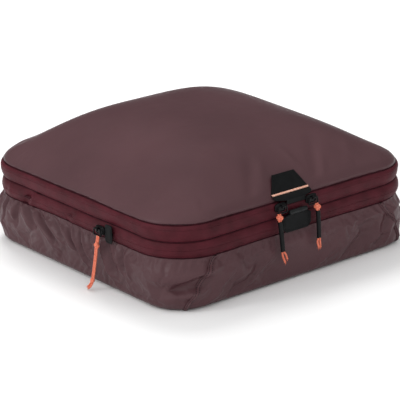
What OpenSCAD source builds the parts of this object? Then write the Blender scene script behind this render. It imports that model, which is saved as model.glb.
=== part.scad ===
// Compression packing cube: a zipped soft tub with an expansion ring and a domed zip-open lid.
// +Z is up, the front with the two pull tabs faces -Y, and the origin is the centre of the base.

/* [Overall] */
// Half of the width across the two zip bands
half_x = 175; // [150:1:200]
// Half of the depth across the two zip bands
half_y = 172; // [150:1:200]
// Corner radius of the zip bands, seen from above
corner_r = 56; // [45:1:70]
// Height of the side walls below the compression zip
wall_h = 57; // [45:1:80]
// Height of one zip band between its two seams
band_h = 18; // [16:1:24]

/* [Fabric] */
// Thickness of the wall, base and lid panels
fabric_t = 2; // [1.5:0.1:3]
// Thickness of the zip tapes
tape_t = 2; // [1.5:0.1:2.4]
// Height of the piped seam bindings
binding_h = 2.4; // [2:0.1:3]
// Height of one half of a zip coil
teeth_h = 1.25; // [1:0.05:2]
// How far the foot of the walls stands in from the bands
foot_inset = 4; // [0:0.5:8]
// Corner radius at the foot of the walls
foot_r = 24; // [16:1:40]

/* [Lid] */
// Height of the rounded shoulder just inside the lid seam
shoulder_h = 13; // [6:1:20]
// Height of the stuffed crown above that shoulder
crown_h = 44; // [20:1:60]
// How much the crown leans towards the back
crown_lean = 7.2; // [0:0.2:12]
// Extra fullness just behind the front seam
front_lift = 12; // [0:1:14]

/* [Tabs] */
// Centre line of the lower tab
tab_x = -9; // [-9.5:0.5:-8.5]
// Centre line of the upper tab
upper_tab_x = -12; // [-13:0.5:-11]
// Width of the upper tab at its stitched bar
tab_w = 51; // [46:1:52]
// Width of the upper tab at its top edge
tab_top_w = 29; // [20:1:40]

/* [Zip pulls] */
// Diameter of the pull cords
cord_d = 2.2; // [1.6:0.1:3]
// Middle of the left main slider
left_x = -32; // [-36:1:-32]
// Middle of the right main slider
right_x = 11; // [11:1:16]
// Middle of the compression slider along the left side
comp_y = -53; // [-60:1:-40]

/* [Hidden] */
$fn = 32;

// Seam heights and the two zip chain lines
wall_seam_z = wall_h;
middle_seam_z = wall_h + band_h;
lid_seam_z = wall_h + 2 * band_h;
comp_z = wall_h + band_h / 2;
main_drop = 5;
main_z = lid_seam_z - main_drop;
// Half of the clear gap left where two bodies part
part_gap = 0.15;
tape_inset = 0.4;
coil_t = 3;
gusset_inset = 5;
gusset_t = 4;
// Places where the slanted corner seams start and end, across the front
seam_top_x = 116;
seam_foot_x = 148;
seam_w = 4;
seam_t = 1.2;
// Slider plate, its lug and the wire loop that hangs in the lug
slider_w = 15;
slider_hgt = 10;
slider_t = 3.2;
slider_gap = 0.4;
slider_corner = 3;
lug_w = 3.4;
lug_t = 3.4;
lug_rise = 2;
wire_r = 0.8;
pin_clear = 0.1;
loop_w = 12;
loop_drop = 7;
loop_out = slider_gap + slider_t + lug_t / 2;
// Tabs stand just in front of the bands
tab_t = 1.2;
tab_out = 2;
grip_r = 2.6;
garage_gap = 2;
garage_w = 12;
garage_h = 20;
flap_w = 26;
flap_centre = -10.5;
grip_w = 25;
lower_tab_w = 39;
lower_tab_chamfer = 5;
lower_tab_foot_z = wall_seam_z + 1;
bar_r = 1.1;
// Outer face of the upper tab seen from the side, as [y, z] from its foot to its top edge
tab_path = [[-174, 89], [-174, 95.4], [-166.2, 99.6], [-155, 118]];
// The same face moved in by the tab's thickness
tab_back = [[-172.8, 89], [-172.8, 94.8], [-165.3, 98.8], [-153.9, 117.5]];
maroon = "#5a1f2b";
mauve = "#604a4e";
black = "#15181a";
salmon = "#f0825f";

// Routes of the pull cords, down from the wire loops
left_a = [[-38.4, -177.4, 83], [-38.7, -179, 75], [-37.2, -179, 62], [-35.7, -179, 50],
  [-34.7, -179, 41], [-33.8, -179.4, 35], [-31.2, -179.8, 28.8]];
left_b = [[-36, -177.4, 83], [-36.4, -179, 75], [-34.9, -179, 62], [-33.4, -179, 50],
  [-32.4, -179, 41], [-29.4, -178.8, 36.6], [-27.4, -178.6, 31]];
right_a = [[13.9, -177.4, 83], [14.7, -179, 75], [15.3, -179, 64], [15.9, -179, 54],
  [16.3, -179, 44], [15, -179.4, 39.4], [16.4, -179.8, 33.4]];
right_b = [[16.2, -177.4, 83], [17, -179, 75], [17.6, -179, 64], [18.2, -179, 54],
  [18.6, -179, 44], [19.3, -178.8, 38], [20, -178.6, 32.6]];
side_a = [[-180.6, -53.8, 61], [-184, -54.8, 50], [-185, -54.4, 41], [-186, -53.4, 31],
  [-187, -52.2, 21], [-188, -50.9, 12], [-189, -48.6, 7], [-189.6, -46, 4.2]];
side_b = [[-180.6, -56.1, 61], [-184, -57.1, 50], [-185, -56.7, 41], [-186, -55.7, 31],
  [-187, -54.5, 21], [-188, -53.2, 12], [-189.2, -50.8, 6], [-190, -48, 2.8]];
// Middle of each knot, and how far the sleeves reach down from the routes' second points
left_knot = [-37.4, -178.4, 78.8];
right_knot = [15.4, -178.4, 78.8];
side_knot = [-183.6, -55.8, 51.6];
end_knot = [-188, -52, 12];
knot_r = 4.3;
knot_h = 6.8;
side_knot_r = 3.4;
side_knot_h = 9;
end_knot_r = 3;
end_knot_h = 5;
left_sleeve_h = 34;
right_sleeve_h = 31;

// Outline of the bands, moved in by inset
module footprint(inset) {
  rounded_plate(half_x - inset, half_y - inset, corner_r - inset);
}

// Rectangle of half sizes hx and hy with round corners
module rounded_plate(hx, hy, r) {
  square([2 * (hx - r), 2 * hy], center = true);
  square([2 * hx, 2 * (hy - r)], center = true);
  for (sx = [-1, 1], sy = [-1, 1]) translate([sx * (hx - r), sy * (hy - r)]) circle(r);
}

// Hoop that follows the bands from z0 to z1
module hoop(z0, z1, inset, t) {
  translate([0, 0, z0]) linear_extrude(z1 - z0) difference() {
    footprint(inset);
    footprint(inset + t);
  }
}

// Closed block from the foot of the walls to the wall seam, moved in by inset
module wall_block(inset) {
  hull() {
    translate([0, 0, fabric_t]) linear_extrude(0.1)
      rounded_plate(half_x - foot_inset - inset, half_y - foot_inset - inset, foot_r - inset);
    translate([0, 0, wall_seam_z - binding_h / 2 - 0.1]) linear_extrude(0.1) footprint(inset);
  }
}

module wall_shell(inset, t) {
  difference() {
    wall_block(inset);
    translate([0, 0, -0.5]) wall_block(inset + t);
    translate([0, 0, 0.5]) wall_block(inset + t);
  }
}

// Wedge between the two slanted seams on the front, widened by extra
module front_wedge(extra) {
  translate([0, -half_y / 2, 0]) rotate([90, 0, 0])
    linear_extrude(half_y, center = true) polygon([
      [-seam_foot_x - extra, 0], [seam_foot_x + extra, 0],
      [seam_top_x + extra, wall_seam_z], [-seam_top_x - extra, wall_seam_z]]);
}

module back_wedge(extra) { mirror([0, 1, 0]) front_wedge(extra); }

module half_space(sx) {
  translate([sx * half_x / 2, 0, wall_h / 2]) cube([half_x, 2 * half_y, wall_h], center = true);
}

module base_panel() {
  color(mauve) linear_extrude(fabric_t)
    rounded_plate(half_x - foot_inset, half_y - foot_inset, foot_r);
}

module end_wall(sy) {
  color(mauve) intersection() {
    wall_shell(0, fabric_t);
    if (sy < 0) front_wedge(0); else back_wedge(0);
  }
}

module side_wall(sx) {
  color(mauve) difference() {
    intersection() {
      wall_shell(0, fabric_t);
      half_space(sx);
    }
    front_wedge(0);
    back_wedge(0);
  }
}

// Flat felled tape sewn over one slanted corner seam, on the inside
module corner_seam(sx, sy) {
  color(mauve) difference() {
    intersection() {
      wall_shell(fabric_t, seam_t);
      half_space(sx);
      if (sy < 0) front_wedge(seam_w / 2); else back_wedge(seam_w / 2);
    }
    if (sy < 0) front_wedge(-seam_w / 2); else back_wedge(-seam_w / 2);
  }
}

module binding(seam_z) {
  color(maroon) hoop(seam_z - binding_h / 2, seam_z + binding_h / 2, 0, tape_t + tape_inset);
}

module tape(z0, z1) { color(maroon) hoop(z0, z1, tape_inset, tape_t); }

module coil(z0) { color(maroon) hoop(z0, z0 + teeth_h, 0, coil_t); }

// Black patch that hides the ends of the compression zip
module zip_garage() {
  color(black) translate([-half_x - tab_out, comp_y - (slider_w + garage_w) / 2 - garage_gap, comp_z - 0.5])
    rotate([0, 90, 0]) linear_extrude(tab_t) rounded_plate(garage_h / 2, garage_w / 2, 4);
}

// Folded expansion fabric behind the compression zip
module gusset() {
  color(mauve) hoop(wall_seam_z + binding_h / 2, middle_seam_z - binding_h / 2,
    gusset_inset, gusset_t);
}

// Black tab below the main zip, with chamfered lower corners
module lower_tab() {
  half = lower_tab_w / 2;
  foot = half - lower_tab_chamfer;
  shoulder_z = lower_tab_foot_z + lower_tab_chamfer;
  color(black) translate([tab_x, -half_y - tab_out + tab_t, 0]) rotate([90, 0, 0])
    linear_extrude(tab_t) polygon([[-foot, lower_tab_foot_z], [foot, lower_tab_foot_z],
      [half, shoulder_z], [half, middle_seam_z - 1], [grip_w / 2, middle_seam_z + 2],
      [-grip_w / 2, middle_seam_z + 2], [-half, middle_seam_z - 1], [-half, shoulder_z]]);
}

module lower_tab_grip() {
  color(black) translate([tab_x, -half_y - tab_out - grip_r + tab_t, middle_seam_z + 2.5 + grip_r])
    rotate([0, 90, 0]) cylinder(h = grip_w, r = grip_r, center = true);
}

// Height of the outside of the lid at x, y; u is the share of the way out to the seam
side_power = 3.64;
front_power = 5.2;
function flatten(x, y) = pow((1 - pow(abs(x) / half_x, side_power))
  * (1 - pow(abs(y) / half_y, y < 0 ? front_power : side_power)), 2);
function lift(x, y) = y < 0 ? front_lift * pow(y / half_y, 4) * (1 - pow(x / half_x, 4)) : 0;
function free_z(x, y, u) = lid_seam_z + (shoulder_h + lift(x, y)) * sqrt(1 - pow(u, 6))
  + crown_h * flatten(x, y) + crown_lean * y / half_y * (1 - pow(u, 4));
// The upper tab holds the lid down on a slope that fades out to each side of it
held_slope = (tab_path[3].y - tab_path[2].y) / (tab_path[3].x - tab_path[2].x);
held_w = 50;
held_rise = 14;
held_gap = 3.6;
function held_z(x, y) = tab_back[2].y - held_gap + held_slope * (y - tab_back[2].x)
  + held_rise * pow((x - upper_tab_x) / held_w, 4);
function lid_z(x, y, u) = y < 0
  ? min(free_z(x, y, u), max(lid_seam_z, held_z(x, y))) : free_z(x, y, u);

// Points round the lid seam, moved in by inset, with steps on each arc and side
function rim_corner(c) = [
  (c == 0 || c == 3 ? 1 : -1) * (half_x - corner_r), (c < 2 ? 1 : -1) * (half_y - corner_r)];
function rim_point(c, a, inset) =
  rim_corner(c) + (corner_r - inset) * [cos(90 * c + a), sin(90 * c + a)];
function rim(inset, arc_n = 7, side_n = 9) = [for (c = [0:3]) each concat(
  [for (k = [0:arc_n]) rim_point(c, 90 * k / arc_n, inset)],
  [for (k = [1:side_n - 1]) let (s = k / side_n)
    (1 - s) * rim_point(c, 90, inset) + s * rim_point((c + 1) % 4, 0, inset)])];

module lid_panel() {
  rings = 12;
  lining_drop = 2.2;
  rim_z = lid_seam_z + binding_h / 2;
  shares = [for (j = [0:rings - 1]) sin(90 * (1 - j / rings))];
  outer = rim(tape_inset);
  n = len(outer);
  skin = concat(
    [for (p = outer) [p.x, p.y, rim_z]],
    [for (j = [1:rings - 1], p = outer) let (q = p * shares[j])
      [q.x, q.y, lid_z(q.x, q.y, shares[j]) + binding_h / 2]],
    [[0, 0, lid_z(0, 0, 0) + binding_h / 2]]);
  pull_in = 1 - fabric_t / half_y;
  lining = [for (i = [0:len(skin) - 1]) let (q = skin[i])
    [q.x * pull_in, q.y * pull_in, i < n ? rim_z : q.z - lining_drop]];
  m = len(skin);
  sides = [for (j = [0:rings - 2], k = [0:n - 1])
    [j * n + k, j * n + (k + 1) % n, (j + 1) * n + (k + 1) % n, (j + 1) * n + k]];
  cap = [for (k = [0:n - 1]) [(rings - 1) * n + k, (rings - 1) * n + (k + 1) % n, m - 1]];
  shell = concat(sides, cap);
  color(mauve) polyhedron(concat(skin, lining), concat(
    [for (f = shell) [for (i = [len(f) - 1:-1:0]) f[i]]],
    [for (f = shell) [for (i = f) i + m]],
    [for (k = [0:n - 1]) [k, (k + 1) % n, (k + 1) % n + m, k + m]]), convexity = 6);
}

// Black tab that lies up the front of the lid, with a flap down over the main zip
module upper_tab() {
  foot = tab_path[0].y;
  knee = tab_path[1].y;
  bar = tab_path[2].y;
  top = tab_path[3].y;
  reach = tab_w / 2;
  flap_end = knee - 1.4;
  wide_from = knee + 1;
  color(black) intersection() {
    rotate([90, 0, 90]) translate([0, 0, upper_tab_x - tab_w]) linear_extrude(2 * tab_w)
      polygon([for (p = tab_path) p, for (k = [3:-1:0]) tab_back[k]]);
    rotate([90, 0, 0]) linear_extrude(half_y * 2) polygon([
      [flap_centre - flap_w / 2, foot - 1], [flap_centre + flap_w / 2, foot - 1],
      [flap_centre + flap_w / 2, flap_end], [upper_tab_x + reach, wide_from],
      [upper_tab_x + reach, bar], [upper_tab_x + tab_top_w / 2, top + 1],
      [upper_tab_x - tab_top_w / 2, top + 1], [upper_tab_x - reach, bar],
      [upper_tab_x - reach, wide_from], [flap_centre - flap_w / 2, flap_end]]);
  }
}

module tab_bartack() {
  color(salmon) translate([upper_tab_x, tab_path[2].x, tab_path[2].y]) rotate([0, 90, 0])
    cylinder(h = tab_w - 1, r = bar_r, center = true);
}

// Slider plate with a bored lug; x runs along the zip and -y points out of the cube
module slider() {
  color(black) difference() {
    union() {
      translate([0, -slider_gap, 0]) rotate([90, 0, 0]) linear_extrude(slider_t)
        rounded_plate(slider_w / 2, slider_hgt / 2, slider_corner);
      translate([-lug_w / 2, -slider_gap - slider_t - lug_t, lug_rise - lug_t / 2])
        cube([lug_w, lug_t + 0.5, lug_t]);
    }
    translate([0, -loop_out, lug_rise]) rotate([0, 90, 0])
      cylinder(h = lug_w + 2, r = wire_r + pin_clear, center = true);
  }
}

// Wire loop whose top bar is the pin in the slider's lug
module wire_loop() {
  color(black) translate([0, -loop_out, lug_rise]) {
    for (z = [0, -loop_drop]) translate([0, 0, z]) rotate([0, 90, 0])
      cylinder(h = loop_w, r = wire_r, center = true);
    for (x = [-loop_w / 2, loop_w / 2]) {
      translate([x, 0, -loop_drop]) cylinder(h = loop_drop, r = wire_r);
      for (z = [0, -loop_drop]) translate([x, 0, z]) sphere(wire_r);
    }
  }
}

// Cord knot as a barrel of height h and radius r, with rounded ends
module knot(r, h) {
  edge = 1;
  color(salmon) rotate_extrude() polygon([[0, -h / 2], [r - edge, -h / 2], [r, -h / 2 + edge],
    [r, h / 2 - edge], [r - edge, h / 2], [0, h / 2]]);
}

// Sleeve over two cords, hanging down by h from its top
module sleeve(h) {
  spread = cord_d / 2 + 0.05;
  bore = cord_d / 2 + 0.05;
  color(black) translate([0, 0, -h]) linear_extrude(h) difference() {
    union() {
      square([2 * spread, 2 * bore + 0.8], center = true);
      for (x = [-spread, spread]) translate([x, 0]) circle(bore + 0.4);
    }
    square([2 * spread, 2 * bore], center = true);
    for (x = [-spread, spread]) translate([x, 0]) circle(bore);
  }
}

function unit(v) = v / norm(v);
function along(pts, i) = unit(pts[min(i + 1, len(pts) - 1)] - pts[max(i - 1, 0)]);
// One ring of the tube's wall, square to the route at point i
function tube_ring(pts, i, r, sides) =
  let (t = along(pts, i), u = unit(cross(t, [0, 1, 0])), v = cross(t, u))
  [for (k = [0:sides - 1]) pts[i] + r * (cos(360 * k / sides) * u + sin(360 * k / sides) * v)];

// Cord swept along hand-placed points
module cord(pts) {
  sides = 8;
  n = len(pts);
  walls = [for (i = [0:n - 2], k = [0:sides - 1]) let (a = i * sides, b = (k + 1) % sides)
    [a + k, a + b, a + sides + b, a + sides + k]];
  color(salmon) polyhedron([for (i = [0:n - 1]) each tube_ring(pts, i, cord_d / 2, sides)],
    concat(walls, [[for (k = [sides - 1:-1:0]) k]],
      [[for (k = [0:sides - 1]) (n - 1) * sides + k]]));
}

module on_front(x) { translate([x, -half_y, main_z]) children(); }
module on_left(y) { translate([-half_x, y, comp_z]) rotate([0, 0, -90]) children(); }

// Sleeve of height h round both cords, from the second point of their routes to the fifth
module sleeve_on(pts_a, pts_b, h) {
  top = (pts_a[1] + pts_b[1]) / 2;
  foot = (pts_a[4] + pts_b[4]) / 2;
  translate(top) rotate([0, -atan2(foot.x - top.x, top.z - foot.z), 0]) sleeve(h);
}

base_panel();
end_wall(-1);  // front_wall
end_wall(1);  // back_wall
side_wall(-1);  // left_wall
side_wall(1);  // right_wall
corner_seam(-1, -1);  // seam_front_left
corner_seam(1, -1);  // seam_front_right
corner_seam(-1, 1);  // seam_back_left
corner_seam(1, 1);  // seam_back_right
binding(wall_seam_z);  // wall_binding
tape(wall_seam_z + binding_h / 2, comp_z - part_gap - teeth_h);  // compression_tape_lower
coil(comp_z - part_gap - teeth_h);  // compression_coil_lower
zip_garage();
gusset();
coil(comp_z + part_gap);  // compression_coil_upper
tape(comp_z + part_gap + teeth_h, middle_seam_z - binding_h / 2);  // compression_tape_upper
binding(middle_seam_z);  // middle_binding
tape(middle_seam_z + binding_h / 2, main_z - part_gap - teeth_h);  // main_tape_lower
coil(main_z - part_gap - teeth_h);  // main_coil_lower
lower_tab();
lower_tab_grip();
coil(main_z + part_gap);  // main_coil_upper
tape(main_z + part_gap + teeth_h, lid_seam_z - binding_h / 2);  // main_tape_upper
binding(lid_seam_z);  // lid_binding
lid_panel();
upper_tab();
tab_bartack();
on_front(left_x) slider();  // main_slider_left
on_front(left_x) wire_loop();  // pull_loop_left
translate(left_knot) knot(knot_r, knot_h);  // pull_knot_left
sleeve_on(left_a, left_b, left_sleeve_h);  // pull_sleeve_left
cord(left_a);  // pull_cord_left_a
cord(left_b);  // pull_cord_left_b
on_front(right_x) slider();  // main_slider_right
on_front(right_x) wire_loop();  // pull_loop_right
translate(right_knot) knot(knot_r, knot_h);  // pull_knot_right
sleeve_on(right_a, right_b, right_sleeve_h);  // pull_sleeve_right
cord(right_a);  // pull_cord_right_a
cord(right_b);  // pull_cord_right_b
on_left(comp_y) slider();  // compression_slider
on_left(comp_y) wire_loop();  // pull_loop_side
translate(side_knot) knot(side_knot_r, side_knot_h);  // pull_knot_side
translate(end_knot) knot(end_knot_r, end_knot_h);  // pull_end_knot_side
cord(side_a);  // pull_cord_side_a
cord(side_b);  // pull_cord_side_b
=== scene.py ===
"""Looks of a compression packing cube: nylon shell, zip bands, tabs, sliders and cord pulls."""

import math

import bpy
import numpy as np
from mathutils import Matrix, Vector


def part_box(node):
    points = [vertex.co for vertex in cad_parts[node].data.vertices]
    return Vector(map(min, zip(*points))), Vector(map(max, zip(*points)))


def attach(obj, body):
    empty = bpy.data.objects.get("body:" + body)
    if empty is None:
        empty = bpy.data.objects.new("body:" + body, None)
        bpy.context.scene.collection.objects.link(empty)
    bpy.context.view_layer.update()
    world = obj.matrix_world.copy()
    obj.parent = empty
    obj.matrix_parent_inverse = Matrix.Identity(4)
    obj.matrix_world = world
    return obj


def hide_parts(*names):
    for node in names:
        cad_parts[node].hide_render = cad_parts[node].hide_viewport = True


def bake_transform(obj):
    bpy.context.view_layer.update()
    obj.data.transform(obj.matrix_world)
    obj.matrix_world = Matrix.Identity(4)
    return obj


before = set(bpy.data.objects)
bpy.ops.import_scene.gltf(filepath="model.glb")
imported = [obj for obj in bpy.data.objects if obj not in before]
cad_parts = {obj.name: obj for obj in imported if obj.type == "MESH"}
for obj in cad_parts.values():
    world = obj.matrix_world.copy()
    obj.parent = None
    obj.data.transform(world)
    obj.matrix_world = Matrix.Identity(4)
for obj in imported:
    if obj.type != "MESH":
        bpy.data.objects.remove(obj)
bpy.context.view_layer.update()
MM = 0.001

# ---------------------------------------------------------------- places taken from the frame
rim_low, rim_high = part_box("lid_binding")
HALF_X, HALF_Y = rim_high.x, rim_high.y
CORNER_R = 56 * MM


def middle(node):
    low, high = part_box(node)
    return (low + high) / 2


def between_coils(zip_name):
    return (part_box(zip_name + "_coil_lower")[1].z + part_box(zip_name + "_coil_upper")[0].z) / 2


WALL_SEAM = middle("wall_binding").z
MIDDLE_SEAM = middle("middle_binding").z
LID_SEAM = middle("lid_binding").z
COMP_Z = between_coils("compression")
MAIN_Z = between_coils("main")
PART_GAP = 0.15 * MM
FOOT_INSET = HALF_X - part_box("base_panel")[1].x
FOOT_R = 42 * MM
BULGE = 3.4 * MM        # how far a zip band stands out past its seams
SEAM_TUCK = 0.7 * MM    # cloth starts this far from a seam's middle
PIPING_R = 0.95 * MM
LOWER_TAB_X = middle("lower_tab").x
UPPER_TAB_X = middle("tab_bartack").x
BAR_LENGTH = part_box("tab_bartack")[1].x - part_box("tab_bartack")[0].x
LEFT_X = middle("main_slider_left").x
RIGHT_X = middle("main_slider_right").x
SIDE_SLIDER_Y = middle("compression_slider").y
LOOP_OUT = 5.3 * MM
LOOP_RISE = 2 * MM
LOOP_DROP = 7 * MM
CORD_D = 2.2 * MM


# ---------------------------------------------------------------- camera
def make_camera():
    azimuth, elevation, roll = math.radians(-39.01), math.radians(19.18), math.radians(-1.10)
    look_at, distance = Vector((0, 0, 0.048)), 2.16
    focal_length, sensor = 173.5, 36
    back = Vector((math.sin(azimuth) * math.cos(elevation),
                   -math.cos(azimuth) * math.cos(elevation), math.sin(elevation)))
    right = Vector((math.cos(azimuth), math.sin(azimuth), 0))
    up = back.cross(right)
    right, up = (math.cos(roll) * right + math.sin(roll) * up,
                 math.cos(roll) * up - math.sin(roll) * right)
    data = bpy.data.cameras.new("camera")
    data.lens, data.sensor_width = focal_length, sensor
    data.shift_x, data.shift_y = 0.0027, -0.0091
    camera = bpy.data.objects.new("camera", data)
    camera.matrix_world = Matrix.Translation(look_at + back * distance) @ Matrix(
        (right, up, back)).transposed().to_4x4()
    bpy.context.scene.collection.objects.link(camera)
    bpy.context.scene.camera = camera


make_camera()


# ---------------------------------------------------------------- shader helpers
def srgb(r, g, b):
    """A colour given in 0 to 255 as linear RGBA."""
    def linear(v):
        v /= 255
        return v / 12.92 if v <= 0.04045 else ((v + 0.055) / 1.055) ** 2.4
    return (linear(r), linear(g), linear(b), 1)


class Shader:
    """A Principled material and a few short ways to add nodes to it."""

    def __init__(self, name, colour, roughness, **sockets):
        self.material = bpy.data.materials.new(name)
        self.material.use_nodes = True
        self.nodes = self.material.node_tree.nodes
        self.links = self.material.node_tree.links
        self.bsdf = self.nodes["Principled BSDF"]
        self.set("Base Color", colour)
        self.set("Roughness", roughness)
        for socket, value in sockets.items():
            self.set(socket.replace("_", " "), value)
        self.coords = self.nodes.new("ShaderNodeTexCoord").outputs["Object"]

    def set(self, socket, value):
        self.bsdf.inputs[socket].default_value = value

    def node(self, kind, **inputs):
        made = self.nodes.new("ShaderNode" + kind)
        for socket, value in inputs.items():
            target = made.inputs[socket.replace("_", " ")]
            if isinstance(value, bpy.types.NodeSocket):
                self.links.new(value, target)
            else:
                target.default_value = value
        return made

    def noise(self, scale, detail=3):
        return self.node("TexNoise", Vector=self.coords, Scale=scale, Detail=detail).outputs["Fac"]

    def wave(self, scale, direction):
        made = self.node("TexWave", Vector=self.coords, Scale=scale)
        made.bands_direction = direction
        return made.outputs["Fac"]

    def weave(self, scale, *directions):
        """Sum of a wave in each direction."""
        total = self.wave(scale, directions[0])
        for direction in directions[1:]:
            made = self.nodes.new("ShaderNodeMath")
            made.operation = "ADD"
            self.links.new(total, made.inputs[0])
            self.links.new(self.wave(scale, direction), made.inputs[1])
            total = made.outputs[0]
        return total

    def ramp(self, socket, value, low, high, start=0.3, stop=0.7):
        """Drives a socket from low to high as value goes from start to stop."""
        made = self.node("ValToRGB", Fac=value)
        for element, place, colour in zip(made.color_ramp.elements, (start, stop), (low, high)):
            element.position, element.color = place, colour
        self.links.new(made.outputs["Color"], self.bsdf.inputs[socket])

    def tint(self, value, low, high, *places):
        self.ramp("Base Color", value, srgb(*low), srgb(*high), *places)

    def gloss(self, value, low, high, *places):
        self.ramp("Roughness", value, (low,) * 3 + (1,), (high,) * 3 + (1,), *places)

    def bump(self, *layers):
        """Each layer is (height, strength, distance in metres); they stack on each other."""
        normal = None
        for height, strength, distance in layers:
            made = self.node("Bump", Strength=strength, Distance=distance, Height=height)
            if normal is not None:
                self.links.new(normal, made.inputs["Normal"])
            normal = made.outputs["Normal"]
        self.links.new(normal, self.bsdf.inputs["Normal"])


def nylon():
    """Thin nylon with a low lustre: fine plain weave, soft crumples and a patchy colour."""
    m = Shader("nylon", srgb(75, 48, 52), 0.42, Specular_IOR_Level=0.24)
    m.tint(m.noise(9, 4), (71, 45, 49), (80, 52, 56))
    m.gloss(m.noise(30, 4), 0.36, 0.50)
    weave = m.weave(420, "X", "Y", "Z")
    m.bump((m.noise(55, 5), 0.25, 0.0010), (m.noise(210, 3), 0.15, 0.0003),
           (weave, 0.12, 0.0001))
    return m.material


def tape_cloth():
    """Maroon zip tape: close ribs across it and a soft, slightly furry face."""
    m = Shader("zip_tape", srgb(84, 28, 38), 0.55, Specular_IOR_Level=0.12, Sheen_Weight=0.10,
               Sheen_Roughness=0.4, Sheen_Tint=srgb(190, 90, 110))
    m.tint(m.noise(60, 5), (58, 17, 24), (77, 26, 35))
    ribs = m.weave(330, "X", "Y")
    m.bump((m.noise(90, 4), 0.3, 0.0006), (ribs, 0.25, 0.0002),
           (m.wave(200, "Z"), 0.2, 0.0003))
    return m.material


def coil_plastic():
    m = Shader("zip_coil", srgb(62, 20, 29), 0.45, Specular_IOR_Level=0.25)
    m.tint(m.noise(400, 2), (54, 16, 24), (72, 25, 35))
    m.bump((m.noise(900, 2), 0.15, 0.0001))
    return m.material


def binding_cloth_painted_shade():
    # Piping colour far darker than the tape: painted shade of the recessed seam between the bulging
    # bands.
    m = Shader("seam_binding", srgb(44, 15, 21), 0.8, Specular_IOR_Level=0.08)
    m.tint(m.noise(150, 4), (34, 11, 16), (54, 19, 27))
    m.bump((m.weave(520, "X", "Y"), 0.4, 0.0002), (m.noise(300, 3), 0.25, 0.0002))
    return m.material


def tab_cloth():
    """Matt black coated webbing with a fine diagonal grain."""
    m = Shader("tab_webbing", srgb(9, 10, 11), 0.5, Specular_IOR_Level=0.12)
    m.tint(m.noise(120, 4), (6, 7, 8), (14, 16, 17))
    grain = m.weave(450, "DIAGONAL", "Z")
    m.bump((m.noise(160, 4), 0.25, 0.0003), (grain, 0.2, 0.00012))
    return m.material


def grip_vinyl():
    """Smooth black webbing, polished where fingers pull on it."""
    m = Shader("grip_vinyl", srgb(10, 12, 13), 0.3, Specular_IOR_Level=0.22)
    m.tint(m.noise(150, 4), (7, 9, 10), (20, 24, 25))
    m.bump((m.noise(240, 4), 0.3, 0.0003))
    return m.material


def thread(name, light, dark):
    m = Shader(name, srgb(*light), 0.6, Specular_IOR_Level=0.2)
    m.tint(m.noise(500, 3), dark, light)
    m.bump((m.wave(1500, "DIAGONAL"), 0.4, 0.00015))
    return m.material


def slider_paint():
    """Gloss black paint, thinner and duller where it has rubbed."""
    m = Shader("slider_paint", srgb(4, 4, 5), 0.14, Specular_IOR_Level=0.14)
    m.gloss(m.noise(260, 4), 0.10, 0.30, 0.35, 0.75)
    m.tint(m.noise(180, 4), (3, 3, 4), (12, 12, 14), 0.4, 0.8)
    m.bump((m.noise(700, 3), 0.12, 0.0001))
    return m.material


def sleeve_rubber():
    m = Shader("sleeve_rubber", srgb(7, 8, 9), 0.3, Specular_IOR_Level=0.12)
    m.tint(m.noise(220, 4), (5, 6, 7), (13, 14, 16), 0.3, 0.75)
    m.bump((m.noise(350, 3), 0.3, 0.0002))
    return m.material


def cord_braid():
    m = Shader("cord_braid", srgb(218, 114, 88), 0.6, Specular_IOR_Level=0.3)
    m.tint(m.noise(700, 3), (198, 88, 62), (228, 134, 108))
    m.bump((m.noise(1400, 2), 0.35, 0.0001))
    return m.material


MATERIALS = {
    "shell_nylon": nylon(),
    "zip_tape": tape_cloth(),
    "zip_coil": coil_plastic(),
    "seam_binding": binding_cloth_painted_shade(),
    "tab_fabric": tab_cloth(),
    "grip_gloss": grip_vinyl(),
    "bartack_thread": thread("bartack_thread", (248, 204, 184), (230, 160, 134)),
    "seam_thread": thread("seam_thread", (40, 25, 29), (24, 14, 17)),
    "black_thread": thread("black_thread", (12, 13, 14), (5, 6, 6)),
    "slider_metal": slider_paint(),
    "pull_sleeve": sleeve_rubber(),
    "pull_cord": cord_braid(),
}


# ---------------------------------------------------------------- mesh helpers
def add_mesh(name, points, faces, material):
    mesh = bpy.data.meshes.new(name)
    mesh.from_pydata([tuple(p) for p in points], [], [tuple(f) for f in faces])
    mesh.update()
    mesh.polygons.foreach_set("use_smooth", [True] * len(mesh.polygons))
    mesh.materials.append(MATERIALS[material])
    made = bpy.data.objects.new(name, mesh)
    bpy.context.scene.collection.objects.link(made)
    return made


def grid_faces(rows, columns, wrap_rows=False, wrap_columns=False, offset=0):
    """Quads of a grid of points stored row after row."""
    faces = []
    for i in range(rows if wrap_rows else rows - 1):
        for j in range(columns if wrap_columns else columns - 1):
            a, b = i, (i + 1) % rows
            c, d = j, (j + 1) % columns
            faces.append((offset + a * columns + c, offset + a * columns + d,
                          offset + b * columns + d, offset + b * columns + c))
    return faces


def flipped(faces):
    return [f[::-1] for f in faces]


def end_caps(rows, columns):
    """The two end faces of a tube of rows rings."""
    return [tuple(range(columns))[::-1], tuple((rows - 1) * columns + np.arange(columns))]


def full_turn(count):
    return np.arange(count) / count * 2 * math.pi


def rounded(angles, power):
    """Points of a rounded rectangle, each way from -1 to 1; a lower power is squarer."""
    c, s = np.cos(angles), np.sin(angles)
    return np.sign(c) * np.abs(c) ** power, np.sign(s) * np.abs(s) ** power


def join(parts):
    """Points and faces of several (points, faces) pairs as one pair."""
    points, faces, count = [], [], 0
    for part_points, part_faces in parts:
        points.append(np.asarray(part_points, float).reshape(-1, 3))
        faces += [tuple(i + count for i in f) for f in part_faces]
        count += len(points[-1])
    return np.concatenate(points), faces


def thicken(piece, thickness, offset=-1.0):
    modifier = piece.modifiers.new("thickness", "SOLIDIFY")
    modifier.thickness = thickness
    modifier.offset = offset
    modifier.use_even_offset = False


def place(piece, slot, body, *nodes):
    """Hides the CAD nodes a piece replaces and hangs it on the body it rides on; slot is not used.
    """
    if nodes:
        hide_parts(*nodes)
    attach(piece, body)
    return piece


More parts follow.
